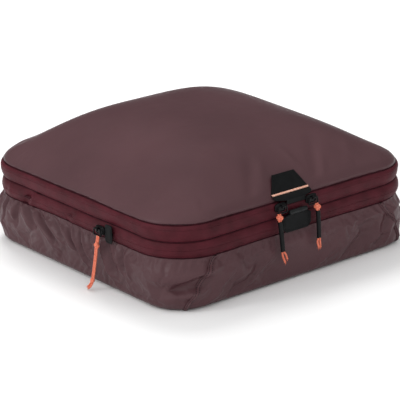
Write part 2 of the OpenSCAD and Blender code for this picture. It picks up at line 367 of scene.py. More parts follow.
def smooth_step(x):
    x = np.clip(x, 0, 1)
    return x * x * (3 - 2 * x)


# ---------------------------------------------------------------- outline of the cube from above
SIDE_X, SIDE_Y = HALF_X - CORNER_R, HALF_Y - CORNER_R
ARC = math.pi / 2 * CORNER_R
LENGTHS = np.array([SIDE_X, ARC, 2 * SIDE_Y, ARC, 2 * SIDE_X, ARC, 2 * SIDE_Y, ARC, SIDE_X])
STARTS = np.concatenate([[0], np.cumsum(LENGTHS)])
AROUND = STARTS[-1]


def outline(s, half_x=HALF_X, half_y=HALF_Y, radius=CORNER_R):
    """Points and outward normals at stations s, which run from the middle of the front to +X.

    On an outline of another size, a station keeps its share of its side or corner."""
    s = np.mod(np.asarray(s, float), AROUND)
    piece = np.clip(np.searchsorted(STARTS, s, side="right") - 1, 0, 8)
    share = (s - STARTS[piece]) / LENGTHS[piece]
    a, b = half_x - radius, half_y - radius
    x, y = np.zeros_like(s), np.zeros_like(s)
    nx, ny = np.zeros_like(s), np.zeros_like(s)
    straight = {0: ((0, -half_y), (a, -half_y)), 2: ((half_x, -b), (half_x, b)),
                4: ((a, half_y), (-a, half_y)), 6: ((-half_x, b), (-half_x, -b)),
                8: ((-a, -half_y), (0, -half_y))}
    facing = {0: (0, -1), 2: (1, 0), 4: (0, 1), 6: (-1, 0), 8: (0, -1)}
    for k, (p, q) in straight.items():
        on = piece == k
        x[on] = p[0] + (q[0] - p[0]) * share[on]
        y[on] = p[1] + (q[1] - p[1]) * share[on]
        nx[on], ny[on] = facing[k]
    for k, cx, cy, start in ((1, a, -b, -90), (3, a, b, 0), (5, -a, b, 90), (7, -a, -b, 180)):
        on = piece == k
        angle = np.radians(start + 90 * share[on])
        nx[on], ny[on] = np.cos(angle), np.sin(angle)
        x[on], y[on] = cx + radius * nx[on], cy + radius * ny[on]
    return np.stack([x, y], -1), np.stack([nx, ny], -1)


def front_station(x):
    return x % AROUND


def left_station(y):
    return STARTS[6] + SIDE_Y - y


def station_gap(s, centre):
    """Signed distance along the outline from centre, the short way round."""
    return (np.asarray(s, float) - centre + AROUND / 2) % AROUND - AROUND / 2


# ---------------------------------------------------------------- soft irregularity
def ripple(s, seed, waves):
    """Smooth seeded noise round the outline: waves is a list of (cycles, height)."""
    rng = np.random.default_rng(seed)
    total = np.zeros_like(np.asarray(s, float))
    for cycles, height in waves:
        phase = rng.uniform(0, 2 * math.pi)
        total += height * np.sin(2 * math.pi * cycles * s / AROUND + phase)
    return total


def calm(s):
    """A quarter beside the front tabs and 1 away from them, so that nothing soft meets them."""
    away = smooth_step((np.abs(station_gap(s, front_station(-0.01))) - 0.045) / 0.05)
    return 0.25 + 0.75 * away


def seam_shift(s, seed):
    """How far a seam wanders up and down."""
    return calm(s) * ripple(s, seed, [(3, 0.5 * MM), (7, 0.45 * MM), (13, 0.25 * MM)])


# ---------------------------------------------------------------- sweeps round the outline
def hoop(name, material, shape, count=720):
    """Sweeps a closed profile round the outline: shape(s) gives its (outward, z) points."""
    s = np.arange(count) / count * AROUND
    shaped = shape(s)
    p, n = outline(s)
    points = np.concatenate([p[:, None] + n[:, None] * shaped[..., :1], shaped[..., 1:]], -1)
    faces = grid_faces(count, shaped.shape[1], wrap_rows=True, wrap_columns=True)
    return add_mesh(name, points.reshape(-1, 3), faces, material)


def band_share(z, chain, low, high):
    """0 at the chain and 1 at either seam of a zip band."""
    return np.clip(np.where(z > chain, (z - chain) / (high - chain), (chain - z) / (chain - low)),
                   0, 1)


SEAM_SEEDS = {WALL_SEAM: 10, MIDDLE_SEAM: 11, LID_SEAM: 12}
FOLDS_ACROSS_BANDS = [
    # station, half width, depth, lean: soft creases where the stuffing pulls
    (left_station(0.083), 6 * MM, 4.2 * MM, 8 * MM),
    (left_station(0.004), 6 * MM, 2.0 * MM, 9 * MM),
    (left_station(0.125), 5 * MM, 1.0 * MM, 3 * MM),
    (STARTS[2] + 0.03, 6 * MM, 0.9 * MM, -5 * MM),
    (STARTS[3] + 0.02, 5 * MM, 1.1 * MM, 6 * MM),
    (STARTS[5] - 0.05, 5 * MM, 1.0 * MM, 5 * MM),
]


def make_tape(name, seam, chain, seed, body, folded=False):
    """Half a zip band, from its seam to its chain: outer face out, inner face back."""
    low, high = (WALL_SEAM, MIDDLE_SEAM) if chain < MIDDLE_SEAM else (MIDDLE_SEAM, LID_SEAM)
    up = 1 if seam > chain else -1
    seam_seed = SEAM_SEEDS[seam]
    z = np.linspace(seam - up * SEAM_TUCK, chain + up * 0.05 * MM, 13)
    to_seam = band_share(z, chain, low, high)
    out = -BULGE * to_seam ** 2.4 - 0.25 * MM
    base = np.stack([np.concatenate([out, out[::-1] - 1.2 * MM]),
                     np.concatenate([z, z[::-1]])], -1)[::-up]
    to_seam = np.concatenate([to_seam, to_seam[::-1]])

    def shape(s):
        made = np.repeat(base[None], len(s), 0)
        puff = calm(s) * ripple(s, seed, [(5, 0.35 * MM), (11, 0.3 * MM), (23, 0.25 * MM)])
        made[..., 0] += np.minimum(puff, 0.15 * MM)[:, None] * (1 - to_seam ** 2)[None]
        made[..., 1] += seam_shift(s, seam_seed)[:, None] * to_seam[None] ** 3
        if folded:
            for at, width, depth, lean in FOLDS_ACROSS_BANDS:
                slant = lean * (base[:, 1] - chain)[None] / (9 * MM)
                along = station_gap(s, at)[:, None] - slant
                dent = np.exp(-(along / width) ** 2) - 0.5 * np.exp(
                    -((along - 1.6 * width) / width) ** 2)
                made[..., 0] -= depth * dent * (1 - 0.6 * to_seam[None])
        return made
    place(hoop(name, "zip_tape", shape), "zip_tape", body, name.replace("_cloth", ""))


COIL_PITCH = 1.6 * MM


def make_coil(name, z_chain, side, body):
    """One half of the chain: a bead whose radius swells once for each tooth."""
    teeth = int(AROUND / COIL_PITCH)
    per_tooth, around = 4, 8
    count = teeth * per_tooth
    centre = z_chain + side * 0.75 * MM
    angles = full_turn(around)

    def shape(_):
        phase = np.arange(count) % per_tooth / per_tooth
        swell = 0.72 + 0.28 * np.cos(2 * math.pi * phase)
        made = np.zeros((count, around, 2))
        made[..., 0] = -1.75 * MM + 1.15 * MM * np.cos(angles)[None] * swell[:, None]
        made[..., 1] = centre + 0.62 * MM * np.sin(angles)[None] * swell[:, None]
        return made
    place(hoop(name, "zip_coil", shape, count), "zip_coil", body, name.replace("_teeth", ""))


def make_binding(name, seam, body):
    # The piping's dark colour is painted shade of the groove between the bands.
    angles = full_turn(12)
    seed = SEAM_SEEDS[seam]

    def shape(s):
        lift, pucker = seam_shift(s, seed), ripple(s, seed + 40, [(61, 0.12 * MM), (97, 0.10 * MM)])
        out = -BULGE - 0.55 * MM + PIPING_R * np.cos(angles)
        up = seam + PIPING_R * np.sin(angles)
        return np.stack([out[None] + pucker[:, None], up[None] + lift[:, None]], -1)
    place(hoop(name, "seam_binding", shape), "seam_binding", body, name.replace("_piping", ""))


def make_bands():
    make_tape("compression_tape_lower_cloth", WALL_SEAM, COMP_Z, 1, "tub", folded=True)
    make_tape("compression_tape_upper_cloth", MIDDLE_SEAM, COMP_Z, 1, "ring", folded=True)
    make_tape("main_tape_lower_cloth", MIDDLE_SEAM, MAIN_Z, 2, "ring")
    make_tape("main_tape_upper_cloth", LID_SEAM, MAIN_Z, 2, "lid")
    make_coil("compression_coil_lower_teeth", COMP_Z - PART_GAP, -1, "tub")
    make_coil("compression_coil_upper_teeth", COMP_Z + PART_GAP, 1, "ring")
    make_coil("main_coil_lower_teeth", MAIN_Z - PART_GAP, -1, "ring")
    make_coil("main_coil_upper_teeth", MAIN_Z + PART_GAP, 1, "lid")
    make_binding("wall_binding_piping", WALL_SEAM, "tub")
    make_binding("middle_binding_piping", MIDDLE_SEAM, "ring")
    make_binding("lid_binding_piping", LID_SEAM, "lid")


make_bands()


# ---------------------------------------------------------------- lid
BAR_Y, BAR_Z = middle("tab_bartack").y, middle("tab_bartack").z
TAB_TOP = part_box("upper_tab")[1]
TAB_SLOPE = (TAB_TOP.z - BAR_Z) / (TAB_TOP.y - BAR_Y)


def lid_height(x, y, u):
    """Height of the stuffed lid; u is the share of the way out to the seam.

    The upper tab holds the cloth down on a slope that fades out to each side of it."""
    shoulder, crown, lean, front_lift = 13 * MM, 44 * MM, 7.2 * MM, 12 * MM
    front = y < 0
    power_y = np.where(front, 5.2, 3.64)
    flat = ((1 - np.clip(np.abs(x) / HALF_X, 0, 1) ** 3.64)
            * (1 - np.clip(np.abs(y) / HALF_Y, 0, 1) ** power_y)) ** 2
    lift = np.where(front, front_lift * (y / HALF_Y) ** 4 * (1 - (x / HALF_X) ** 4), 0)
    free = (LID_SEAM + (shoulder + lift) * np.sqrt(np.clip(1 - u ** 6, 0, 1)) + crown * flat
            + lean * y / HALF_Y * (1 - u ** 4))
    held = (BAR_Z - 3.2 * MM + TAB_SLOPE * (y - BAR_Y)
            + 20 * MM * ((x - UPPER_TAB_X) / (50 * MM)) ** 4)
    held = np.maximum(held, LID_SEAM + 0.6 * MM)
    soft = 1.2 * MM
    gap = np.clip((held - free) / soft, -30, 30)
    blended = -soft * np.logaddexp(-held / soft, -free / soft)
    return np.where(front & (gap < 12), blended, free)


LID_PUCKERS = [
    # start and end on the lid (x, y), half width, height: creases that run in to the seam
    ((-150, 38), (-178, -6), 5, -1.8), ((-156, 10), (-178, -20), 4, 1.4),
    ((-37, -128), (-72, -174), 6, -2.0), ((-46, -150), (-62, -176), 4, 1.6),
    ((-160, -80), (-166, -112), 6, -1.4), ((-140, -88), (-158, -128), 5, 1.4),
    ((-158, -128), (-168, -146), 5, -1.4), ((62, -118), (18, -175), 7, -2.2),
    ((52, -144), (32, -174), 4, 1.6), ((110, -120), (70, -172), 7, 1.2),
    ((-30, -140), (-52, -176), 4, 2.4), ((-34, -132), (-60, -168), 5, -1.6),
    ((8, -128), (20, -172), 5, 2.0), ((-120, 150), (-150, 168), 6, 1.4),
]


def crease(x, y, start, end, width, height):
    (x0, y0), (x1, y1) = np.array(start) * MM, np.array(end) * MM
    ex, ey = x1 - x0, y1 - y0
    length2 = ex * ex + ey * ey
    t = ((x - x0) * ex + (y - y0) * ey) / length2
    away = ((x - x0) * ey - (y - y0) * ex) / math.sqrt(length2)
    reach = width * MM * (1.25 - 0.55 * np.clip(t, 0, 1))
    ends = smooth_step((t + 0.35) / 0.7) * smooth_step((1.25 - t) / 0.4)
    return height * MM * np.exp(-(away / reach) ** 2) * ends


CLOTH = {"quality": 6, "mass": 0.15, "tension_stiffness": 20, "compression_stiffness": 8,
         "shear_stiffness": 5, "air_damping": 3, "pin_stiffness": 1, "use_pressure": True}


def simulate(piece, hold, frames, pressure, shrink, bending, cap):
    """Runs Cloth on a piece: hold is 1 where it is sewn fast and near 0 where it is free."""
    before = np.empty(len(piece.data.vertices) * 3)
    piece.data.vertices.foreach_get("co", before)
    group = piece.vertex_groups.new(name="hold")
    levels = np.round(np.clip(hold, 0, 1) * 40).astype(int)
    for level in np.unique(levels):
        group.add(np.flatnonzero(levels == level).tolist(), level / 40, "REPLACE")
    cloth = piece.modifiers.new("cloth", "CLOTH")
    settings = cloth.settings
    for name, value in CLOTH.items():
        setattr(settings, name, value)
    settings.bending_stiffness = bending
    settings.vertex_group_mass = "hold"
    settings.uniform_pressure_force = pressure
    settings.shrink_min = shrink
    settings.effector_weights.gravity = 0
    cloth.collision_settings.use_collision = False
    cloth.point_cache.frame_start = 1
    cloth.point_cache.frame_end = frames
    scene = bpy.context.scene
    for f in range(1, frames + 1):
        scene.frame_set(f)
    solved = piece.evaluated_get(bpy.context.evaluated_depsgraph_get())
    after = np.empty(len(before))
    solved.data.vertices.foreach_get("co", after)
    piece.modifiers.remove(cloth)
    piece.vertex_groups.remove(group)
    scene.frame_set(1)
    before, after = before.reshape(-1, 3), after.reshape(-1, 3)
    move = after - before
    size = np.linalg.norm(move, axis=1, keepdims=True)
    move *= cap * np.tanh(size / cap) / np.maximum(size, 1e-9)
    piece.data.vertices.foreach_set("co", (before + move).ravel())
    piece.data.update()
    return before + move


def finish_cloth(piece, thickness, offset=-1.0):
    smooth = piece.modifiers.new("smooth", "SUBSURF")
    smooth.levels = smooth.render_levels = 1
    thicken(piece, thickness, offset)


def make_lid():
    count = 121
    a, b = np.meshgrid(np.linspace(-1, 1, count), np.linspace(-1, 1, count), indexing="ij")
    share = np.maximum(np.abs(a), np.abs(b))
    safe = np.maximum(share, 1e-9)
    half_front, half_side = SIDE_X + ARC / 2, SIDE_Y + ARC / 2
    right_mid = STARTS[2] + SIDE_Y
    back_mid = STARTS[4] + SIDE_X
    left_mid = STARTS[6] + SIDE_Y
    s = np.where(-b >= np.abs(a) - 1e-12, a / safe * half_front, 0.0)
    s = np.where((a >= np.abs(b)) & (a > 0), right_mid + b / safe * half_side, s)
    s = np.where((b >= np.abs(a)) & (b > 0), back_mid - a / safe * half_front, s)
    s = np.where((-a >= np.abs(b)) & (a < 0), left_mid - b / safe * half_side, s)
    inset = BULGE + 0.1 * MM
    p, n = outline(s.ravel(), HALF_X - inset, HALF_Y - inset, CORNER_R - inset)
    u = share.ravel()
    x, y = (p * u[:, None]).T
    z = lid_height(x, y, u) + 0.4 * MM
    z += seam_shift(s.ravel(), SEAM_SEEDS[LID_SEAM]) * smooth_step((u - 0.9) / 0.1)
    free = 1 - smooth_step((u - 0.93) / 0.06)
    relief = sum(crease(x, y, *c) for c in LID_PUCKERS)
    rng = np.random.default_rng(31)
    for _ in range(60):
        at = rng.uniform(0, AROUND)
        q, m = outline([at], HALF_X, HALF_Y, CORNER_R)
        slant = rng.uniform(-16, 16)
        start = (q[0] - m[0] * rng.uniform(14, 34) * MM) / MM
        end = q[0] / MM + slant * np.array([-m[0][1], m[0][0]])
        relief = relief + crease(x, y, start, end, rng.uniform(2.5, 5), rng.uniform(-0.9, 0.9))
    under_tab = np.exp(-((x - UPPER_TAB_X) / (34 * MM)) ** 4
                       - ((y - BAR_Y - 4 * MM) / (18 * MM)) ** 4)
    z += relief * free * (1 - under_tab)
    piece = add_mesh("lid_cloth", np.stack([x, y, z], -1), flipped(grid_faces(count, count)),
                     "shell_nylon")
    hold = np.maximum(0.05 + 0.95 * smooth_step((u - 0.95) / 0.05), under_tab)
    simulate(piece, hold, 12, 0.4, 0.0, 6.0, 1.5 * MM)
    finish_cloth(piece, 0.5 * MM)
    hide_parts("lid_panel")
    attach(piece, "lid")


make_lid()


# ---------------------------------------------------------------- walls and base
def fold(s, z, top, foot, width, height):
    """A ridge, or a valley if height is below 0, along the line from top to foot.

    top and foot are (station, z)."""
    (s0, z0), (s1, z1) = top, foot
    dx, dz = station_gap(s, s0), z - z0
    ex, ez = station_gap(s1, s0), z1 - z0
    length2 = ex * ex + ez * ez
    t = (dx * ex + dz * ez) / length2
    away = np.abs(dx * ez - dz * ex) / math.sqrt(length2)
    ends = smooth_step((t + 0.25) / 0.5) * smooth_step((1.25 - t) / 0.5)
    share = away / (width * (0.6 + 0.8 * np.clip(t, 0, 1)))
    return height * np.exp(-share ** 1.4) * ends


def spread(z):
    """How much wider a side's straight stretch is at height z than at the wall seam."""
    v = np.clip(1 - z / WALL_SEAM, 0, 1)
    return (HALF_X - FOOT_INSET - FOOT_R) / SIDE_X * smooth_step(v) + 1 - smooth_step(v)


def side_fold(station, start, z0, end, z1, width, height):
    """A fold on one side of the cube, given in mm along that side and up from the floor."""
    return ((station(start * MM / spread(z0 * MM)), z0 * MM),
            (station(end * MM / spread(z1 * MM)), z1 * MM), width * MM, height * MM)


# start, z, end, z, half width and height in mm; a height below 0 is a valley
LEFT_FOLDS = [
    (114, 58, 112, 36, 2.5, 1.6), (106, 58, 107, 30, 2.5, -1.6), (98, 57, 80, 34, 3, 2.2),
    (90, 57, 70, 36, 3, -1.8), (74, 53, 34, 24, 3.5, 2.4), (64, 53, 30, 30, 3, -2.0),
    (52, 53, 18, 32, 3, 1.6), (36, 54, 12, 36, 3, -1.2), (22, 52, -2, 30, 3, 1.8),
    (12, 52, -12, 26, 2.5, -1.8), (2, 54, -20, 20, 2.5, 1.8), (-8, 54, -28, 22, 2.5, -1.8),
    (-16, 54, -32, 28, 2.2, 1.6), (-27, 54, -36, 36, 2.2, -1.3), (-50, 53, -68, 16, 3, 1.8),
    (-60, 54, -76, 22, 3, -1.8), (-76, 54, -88, 28, 2.5, 1.3), (-84, 54, -92, 32, 2.5, -1.3),
    (-94, 54, -99, 28, 2.5, 1.1),
]
FRONT_FOLDS = [
    (-118, 52, -150, 30, 6, -2.0), (-122, 42, -190, 34, 7, 3.0), (-128, 33, -178, 24, 6, -3.2),
    (-136, 22, -190, 14, 6, 2.0), (-110, 24, -84, 40, 6, 1.4), (-124, 8, -66, 34, 6, 1.6),
    (-100, 8, -50, 30, 6, -1.6), (-73, 12, -40, 38, 5, 1.3), (30, 12, 82, 40, 8, 1.4),
    (60, 8, 104, 30, 7, -1.4), (107, 16, 140, 34, 4, 1.8), (114, 12, 126, 40, 4, -1.8),
    (126, 10, 133, 42, 3.5, 1.8), (84, 44, 118, 50, 4, 1.1),
]
WALL_FOLDS = ([side_fold(left_station, *f) for f in LEFT_FOLDS]
              + [side_fold(front_station, *f) for f in FRONT_FOLDS])


FRONT_SEAM = 118 * MM
BACK_MID = STARTS[4] + SIDE_X
CORNER_SEAMS = {"front_left": -FRONT_SEAM, "front_right": FRONT_SEAM,
                "back_right": BACK_MID - FRONT_SEAM, "back_left": BACK_MID + FRONT_SEAM}
SEAM_SLANT, SLANT_REACH = 34 * MM, 62 * MM
ROLL = 7 * MM       # radius of the turn in to the base
TURN_FROM = 0.88    # share of the way down where the turn starts


def seam_drift(s, v):
    """How far the corner seams, and the wall beside them, slant out on the way down."""
    total = 0
    for seam, way in zip(CORNER_SEAMS.values(), (-1, 1, -1, 1)):
        near = np.exp(-(station_gap(s, seam) / SLANT_REACH) ** 2)
        total = total + way * SEAM_SLANT * v * near
    return total


def wall_point(s, v):
    """Smooth wall: v runs from 0 at the seam to 1 where the wall turns under at the base."""
    v = np.asarray(v, float)
    s = np.broadcast_to(s, v.shape)
    top_p, top_n = outline(s)
    foot_p, foot_n = outline(s, HALF_X - FOOT_INSET, HALF_Y - FOOT_INSET, FOOT_R)
    mix = smooth_step(v)[..., None]
    p = top_p * (1 - mix) + foot_p * mix
    n = top_n * (1 - mix) + foot_n * mix
    n = n / np.linalg.norm(n, axis=-1, keepdims=True)
    turn = np.clip((v - TURN_FROM) / 0.12, 0, 1) * math.pi / 2
    out = -BULGE * (1 - smooth_step(v / 0.25)) + 0.8 * MM * np.sin(math.pi * np.clip(v, 0, 1))
    out = out - ROLL * (1 - np.cos(turn))
    z = WALL_SEAM - SEAM_TUCK - np.clip(v / TURN_FROM, 0, 1) * (WALL_SEAM - SEAM_TUCK - ROLL)
    z = z - (ROLL - 0.6 * MM) * np.sin(turn)
    return p + n * out[..., None], n, z


FOLD_GAIN, FOLD_CAP = 3.2, 4.6 * MM


def wall_relief(s, z):
    """All the folds and small puckers at stations s and heights z."""
    total = np.zeros(np.broadcast(s, z).shape)
    for top, foot, width, height in WALL_FOLDS:
        total = total + fold(s, z, top, foot, width, height)
    rng = np.random.default_rng(7)
    for _ in range(46):
        at = rng.uniform(STARTS[1] + 0.03, STARTS[6] + 0.01)
        drop = rng.uniform(18, 44) * MM
        slant = rng.uniform(-24, 24) * MM
        total = total + fold(s, z, (at, 54 * MM), (at + slant, 54 * MM - drop),
                             rng.uniform(2.2, 5) * MM, rng.uniform(-1.8, 1.8) * MM)
    return total


def wall_grid(s_values, rows):
    v = np.linspace(0, 1, rows)[:, None]
    station = s_values[None] + seam_drift(s_values[None], v)
    xy, n, z = wall_point(station, v * np.ones((1, len(s_values))))
    z = z * np.ones((1, len(s_values)))
    z = z + seam_shift(s_values, SEAM_SEEDS[WALL_SEAM])[None] * (1 - smooth_step(v / 0.4))
    fade = smooth_step(v / 0.05) * smooth_step((1 - v) / 0.18)
    relief = FOLD_CAP * np.tanh(FOLD_GAIN * wall_relief(station, z) / FOLD_CAP) * fade
    pucker = ripple(s_values, 21, [(83, 0.3 * MM), (121, 0.25 * MM), (157, 0.2 * MM)])
    relief = relief + pucker[None] * np.exp(-((v - 0.08) / 0.08) ** 2)
    xy = xy + n * relief[..., None]
    return np.concatenate([xy, z[..., None]], -1)


WALL_ROWS, WALL_COLUMNS = 44, 900


def make_walls():
    """The four walls as one strip, settled by Cloth and then cut apart at the corner seams."""
    s = np.arange(WALL_COLUMNS) / WALL_COLUMNS * AROUND
    grid = wall_grid(s, WALL_ROWS)
    faces = flipped(grid_faces(WALL_ROWS, WALL_COLUMNS, wrap_columns=True))
    strip = add_mesh("wall_strip", grid.reshape(-1, 3), faces, "shell_nylon")
    v = np.linspace(0, 1, WALL_ROWS)
    hold = np.maximum(0.04, np.maximum(1 - v / 0.05, smooth_step((v - 0.86) / 0.1)))
    by_tab = 0.5 * np.exp(-(station_gap(s, LOWER_TAB_X) / (30 * MM)) ** 4)
    hold = np.maximum(hold[:, None], by_tab[None]).ravel()
    grid = simulate(strip, hold, 16, 0.8, -0.03, 0.25, 4 * MM).reshape(grid.shape)
    bpy.data.objects.remove(strip)
    first, second, third, fourth = [int(round(e % AROUND / AROUND * WALL_COLUMNS))
                                    for e in CORNER_SEAMS.values()]
    spans = {"front": (first, second + WALL_COLUMNS), "right": (second, third),
             "back": (third, fourth), "left": (fourth, first)}
    for side, (start, stop) in spans.items():
        columns = np.arange(start, stop + 1) % WALL_COLUMNS
        mine = grid[:, columns].reshape(-1, 3)
        piece = add_mesh(f"{side}_wall_cloth", mine,
                         flipped(grid_faces(WALL_ROWS, len(columns))), "shell_nylon")
        finish_cloth(piece, 0.45 * MM)
        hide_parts(f"{side}_wall")
        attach(piece, "tub")
    return grid


WALL = make_walls()


def on_wall(s, v):
    """Point of the settled wall at station s and share v of the way down."""
    column = np.mod(np.asarray(s, float), AROUND) / AROUND * WALL_COLUMNS
    row = np.asarray(v, float) * (WALL_ROWS - 1)
    c0, r0 = np.floor(column).astype(int), np.minimum(np.floor(row).astype(int), WALL_ROWS - 2)
    fc, fr = (column - c0)[..., None], (row - r0)[..., None]
    c0, c1 = c0 % WALL_COLUMNS, (c0 + 1) % WALL_COLUMNS
    return ((WALL[r0, c0] * (1 - fc) + WALL[r0, c1] * fc) * (1 - fr)
            + (WALL[r0 + 1, c0] * (1 - fc) + WALL[r0 + 1, c1] * fc) * fr)


def make_base():
    rings, count = 26, 360
    s = np.arange(count) / count * AROUND
    edge = wall_point(s, np.ones((1, count)))[0][0]
    points = [np.concatenate([edge * k, np.full((count, 1), 0.5 * MM)], -1)
              for k in np.linspace(1.0, 0.04, rings)]
    rng = np.random.default_rng(5)
    flat = np.concatenate(points)
    for _ in range(30):
        x, y = (flat[:, :2] - rng.uniform(-0.15, 0.15, 2)).T
        angle = rng.uniform(0, math.pi)
        across = x * math.cos(angle) + y * math.sin(angle)
        along = -x * math.sin(angle) + y * math.cos(angle)
        flat[:, 2] += rng.uniform(0.2, 0.8) * MM * np.exp(
            -(across / 0.004) ** 2 - (along / 0.04) ** 2)
    flat = np.concatenate([flat, [[0, 0, 0.5 * MM]]])
    faces = grid_faces(rings, count, wrap_columns=True)
    last = (rings - 1) * count
    faces += [(last + j, last + (j + 1) % count, len(flat) - 1) for j in range(count)]
    piece = add_mesh("base_cloth", flat, flipped(faces), "shell_nylon")
    thicken(piece, 0.4 * MM, offset=1.0)
    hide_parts("base_panel")
    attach(piece, "tub")


make_base()


# ---------------------------------------------------------------- tubes and stitches
def tube(path, radius, sides=8, closed=False, profile=None):
    """Points and faces of a tube along a path; radius may be one number for each point.

    profile(angles, share) may give the radius all round at each point instead."""
    path = np.asarray(path, float)
    count = len(path)
    if closed:
        tangent = np.roll(path, -1, 0) - np.roll(path, 1, 0)
    else:
        tangent = np.gradient(path, axis=0)
    tangent /= np.linalg.norm(tangent, axis=1, keepdims=True)
    side = np.cross(tangent[0], [0.3, 0.2, 1.0] if abs(tangent[0][2]) < 0.9 else [0, 1.0, 0])
    sides_out, ups = [], []
    for t in tangent:
        side = side - t * np.dot(side, t)
        side = side / np.linalg.norm(side)
        sides_out.append(side)
        ups.append(np.cross(t, side))
    sides_out, ups = np.array(sides_out), np.array(ups)
    angles = full_turn(sides)
    if profile:
        r = profile(angles[None], np.linspace(0, 1, count)[:, None])
    else:
        r = np.broadcast_to(np.reshape(radius, (-1, 1)), (count, sides))
    points = (path[:, None] + r[..., None] * np.cos(angles)[None, :, None] * sides_out[:, None]
              + r[..., None] * np.sin(angles)[None, :, None] * ups[:, None])
    faces = grid_faces(count, sides, wrap_rows=closed, wrap_columns=True)
    if not closed:
        faces += end_caps(count, sides)
    return points.reshape(-1, 3), faces


def smooth_path(points, step):
    """Catmull-Rom curve through given points, one sample about every step."""
    points = np.asarray(points, float)
    ends = np.concatenate([[2 * points[0] - points[1]], points, [2 * points[-1] - points[-2]]])
    curve = []
    for k in range(1, len(ends) - 2):
        a, b, c, d = ends[k - 1:k + 3]
        n = max(2, int(np.linalg.norm(c - b) / step))
        t = (np.arange(n) / n)[:, None]
        curve.append(0.5 * (2 * b + (c - a) * t + (2 * a - 5 * b + 4 * c - d) * t ** 2
                            + (3 * b - a - 3 * c + d) * t ** 3))
    return np.concatenate(curve + [points[-1:]])


def stitches(path, normal, pitch=2.6 * MM, radius=0.22 * MM, share=0.72, lift=0.1 * MM):
    """A row of thread stitches along a path, each one arched out of the cloth."""
    path = np.asarray(path, float)
    steps = np.linalg.norm(np.diff(path, axis=0), axis=1)
    along = np.concatenate([[0], np.cumsum(steps)])
    normal = np.broadcast_to(normal, path.shape)
    made = []
    for k in range(int(along[-1] / pitch)):
        at = (k + 0.5 + share * np.linspace(-0.5, 0.5, 5)) * pitch
        row = np.stack([np.interp(at, along, path[:, i]) for i in range(3)], -1)
        out = np.stack([np.interp(at, along, normal[:, i]) for i in range(3)], -1)
        arch = np.sin(np.linspace(0, math.pi, 5))[:, None] * radius - radius * 0.5 + lift
        made.append(tube(row + out * arch, radius * np.array([0.6, 1, 1, 1, 0.6]), 5))
    return join(made)


# ---------------------------------------------------------------- corner seams
def make_corner_seam(name, station):
    """A felled seam: a raised fold of both walls with two rows of stitches along it."""
    v = np.linspace(0.0, 0.97, 70)
    half = 3 * MM
    across = np.linspace(-3, 3, 13) * MM
    rng = np.random.default_rng(int(station % AROUND * 1e4))
    waves = 0.5 * MM * np.sin(np.linspace(0, 9, len(v)) + rng.uniform(0, 6))
    s = station + across[None] + waves[:, None]
    base = on_wall(s, v[:, None] * np.ones((1, len(across))))
    _, out = outline(station + seam_drift(station, v))
    ridge = 2.0 * MM * (1 - (np.abs(across) / half) ** 3)
    groove = 1.3 * MM * np.exp(-((np.abs(across) - 1.5 * MM) / (0.45 * MM)) ** 2)
    ruffle = 0.3 * MM * np.sin(np.linspace(0, 46, len(v)))[:, None] * np.sign(across)[None]
    normal = np.concatenate([out, np.zeros((len(v), 1))], -1)
    lifted = base + normal[:, None] * (ridge - groove + 0.1 * MM + ruffle)[..., None]
    strip = add_mesh(name + "_welt", lifted.reshape(-1, 3),
                     grid_faces(len(v), len(across)), "shell_nylon")
    finish_cloth(strip, 0.5 * MM)
    place(strip, "shell_nylon", "tub", name)
    rows = [stitches(lifted[:, k], normal, 2.6 * MM, 0.75 * MM, 0.92, 0.4 * MM) for k in (3, 9)]
    thread_piece = add_mesh(name + "_stitches", *join(rows), "seam_thread")
    place(thread_piece, "shell_nylon", "tub", name)


for corner, corner_station in CORNER_SEAMS.items():
    make_corner_seam("seam_" + corner, corner_station)


# ---------------------------------------------------------------- gusset and hinge cloth
def make_gusset():
    """Expansion cloth folded behind the compression zip."""
    rows, count = 25, 360
    s = np.arange(count) / count * AROUND
    foot, top = WALL_SEAM + 1.3 * MM, MIDDLE_SEAM - 1.3 * MM
    z = np.linspace(foot, top, rows)
    zigzag = np.abs((np.arange(rows) / 4) % 1 - 0.5) * 2
    inset = 5.4 * MM + 4.6 * MM * zigzag
    p, n = outline(s)
    points = np.concatenate([p[None] - n[None] * inset[:, None, None],
                             np.broadcast_to(z[:, None, None], (rows, count, 1))], -1)
    piece = add_mesh("gusset_cloth", points.reshape(-1, 3),
                     flipped(grid_faces(rows, count, wrap_columns=True)), "shell_nylon")
    thicken(piece, 0.3 * MM, 0)
    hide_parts("gusset")
    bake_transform(piece)


make_gusset()


def make_hinge_cloth():
    """The back stretch where the main zip stops: plain cloth that the lid folds over."""
    columns, rows = 80, 13
    half = 108 * MM
    s = np.linspace(BACK_MID - half, BACK_MID + half, columns)
    z = np.linspace(MAIN_Z - 5.6 * MM, MAIN_Z + 4.4 * MM, rows)
    p, n = outline(s)
    flat = np.repeat((p + n * 0.45 * MM)[None], rows, 0)
    points = np.concatenate([flat, np.broadcast_to(z[:, None, None], (rows, columns, 1))], -1)
    piece = add_mesh("hinge_cloth", points.reshape(-1, 3),
                     flipped(grid_faces(rows, columns)), "zip_tape")
    thicken(piece, 0.5 * MM)
    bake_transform(piece)


# ---------------------------------------------------------------- tabs
def sheet_between(profile, half_width, centre, columns=41):
    """Grid of points over a side profile of (y, z) with a half width at each of its points."""
    across = np.linspace(-1, 1, columns)
    x = centre[:, None] + half_width[:, None] * across[None]
    return np.stack([x, np.repeat(profile[:, :1], columns, 1),
                     np.repeat(profile[:, 1:], columns, 1)], -1)


def path_normals(profile):
    """Normals of a (y, z) path that runs up from the front, facing out of the cube."""
    t = np.gradient(profile, axis=0)
    t /= np.linalg.norm(t, axis=1, keepdims=True)
    return np.stack([np.zeros(len(t)), -t[:, 1], t[:, 0]], -1)


FLAP_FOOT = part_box("upper_tab")[0]
FLAP_HALF = 13 * MM
FLAP_X = -10.5 * MM


